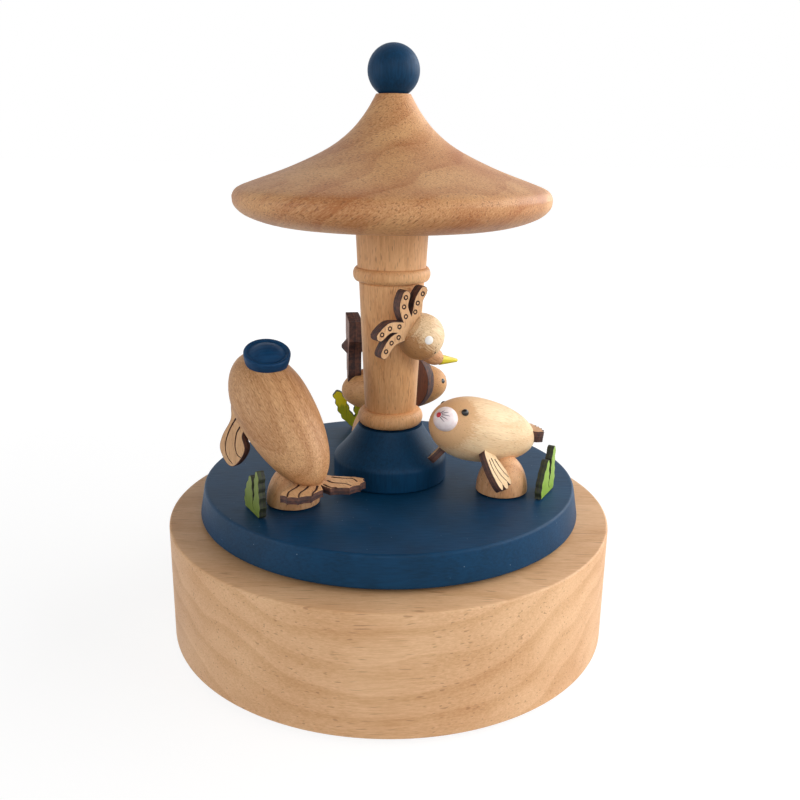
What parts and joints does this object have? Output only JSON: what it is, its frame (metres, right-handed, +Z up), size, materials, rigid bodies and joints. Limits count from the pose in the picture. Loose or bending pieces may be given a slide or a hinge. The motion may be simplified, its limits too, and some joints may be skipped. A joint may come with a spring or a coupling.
{
  "type": "music box",
  "caption": "Wooden carousel music box: a turned drum with a comb movement inside carries a blue disc with sea animals, a column and a bell-shaped roof that turn together.",
  "frame": {"origin": "middle of the circle that the felt pads stand on, on the surface the box rests on", "axes": "+Z up along the column and the turning axis; -Y towards the viewer of the picture; +X to the right in the picture"},
  "size_m": [0.12, 0.12, 0.1547],
  "materials": {
    "beech": "turned beech, oiled",
    "birch_plywood": "laser-cut birch plywood with burnt edges",
    "dark_plywood": "laser-cut plywood, dark brown stain",
    "blue_wood": "turned beech, blue stain paint, satin",
    "white_wood": "turned beech, off-white paint",
    "black_bead": "small black bead",
    "yellow_wood": "turned beech, yellow paint",
    "green_plywood": "laser-cut plywood, green stain",
    "felt": "pressed wool felt",
    "brass": "machined, bare",
    "steel": "zinc plated or bare spring steel"
  },
  "bodies": {
    "base": {"base_drum": "beech", "bottom_cover": "birch_plywood", "cover_screw_1": "steel", "cover_screw_2": "steel", "cover_screw_3": "steel", "felt_pad_1": "felt", "felt_pad_2": "felt", "felt_pad_3": "felt", "bedplate": "brass", "bed_screw_1": "steel", "bed_screw_2": "steel", "bed_screw_3": "steel", "spring_housing": "steel", "mainspring": "steel", "comb": "steel", "comb_screw_1": "brass", "comb_screw_2": "brass", "governor_frame": "brass"},
    "carousel": {"winding_arbor": "steel", "drive_gear": "brass", "washer": "brass", "turntable_nut": "steel", "turntable": "blue_wood", "centre_cone": "blue_wood", "column": "beech", "roof": "beech", "finial_dowel": "beech", "ball_finial": "blue_wood", "seal_large_stand": "beech", "seal_large_body": "beech", "seal_large_cap": "blue_wood", "seal_large_muzzle": "white_wood", "seal_large_flipper_left": "birch_plywood", "seal_large_flipper_right": "birch_plywood", "seal_large_tail": "birch_plywood", "seal_small_stand": "beech", "seal_small_body": "beech", "seal_small_muzzle": "white_wood", "seal_small_eye_left": "black_bead", "seal_small_eye_right": "black_bead", "seal_small_flipper_left": "birch_plywood", "seal_small_flipper_right": "birch_plywood", "seal_small_tail": "birch_plywood", "whale_stand": "beech", "whale_body": "beech", "whale_flipper_right": "dark_plywood", "whale_flipper_left": "dark_plywood", "whale_tail": "dark_plywood", "octopus_head": "beech", "octopus_arms": "birch_plywood", "octopus_mouth": "beech", "octopus_mouth_tip": "yellow_wood", "seaweed_right": "green_plywood", "seaweed_left": "green_plywood", "seaweed_back": "green_plywood"},
    "cylinder": {"pinned_cylinder": "brass", "cylinder_shaft": "steel", "cylinder_gear": "brass"},
    "governor": {"governor_wheel": "brass"},
    "worm": {"worm_and_fly": "steel"}
  },
  "joints": [
    {"name": "carousel_turn", "type": "hinge", "parent": "base", "child": "carousel", "pos_m": [0, 0, 0.0427], "axis": [0, 0, 1], "continuous": true},
    {"name": "cylinder_turn", "type": "hinge", "parent": "base", "child": "cylinder", "pos_m": [0.022, 0, 0.01175], "axis": [1, 0, 0], "continuous": true},
    {"name": "governor_wheel_turn", "type": "hinge", "parent": "base", "child": "governor", "pos_m": [0.0315, 0.0075, 0.01175], "axis": [1, 0, 0], "continuous": true},
    {"name": "worm_turn", "type": "hinge", "parent": "base", "child": "worm", "pos_m": [0.0346, 0.01304, 0.015], "axis": [0, 0, 1], "continuous": true}
  ],
  "couplings": [
    {"joint": "cylinder_turn", "follows": "carousel_turn", "ratio": -4},
    {"joint": "governor_wheel_turn", "follows": "carousel_turn", "ratio": 16},
    {"joint": "worm_turn", "follows": "carousel_turn", "ratio": -384}
  ]
}
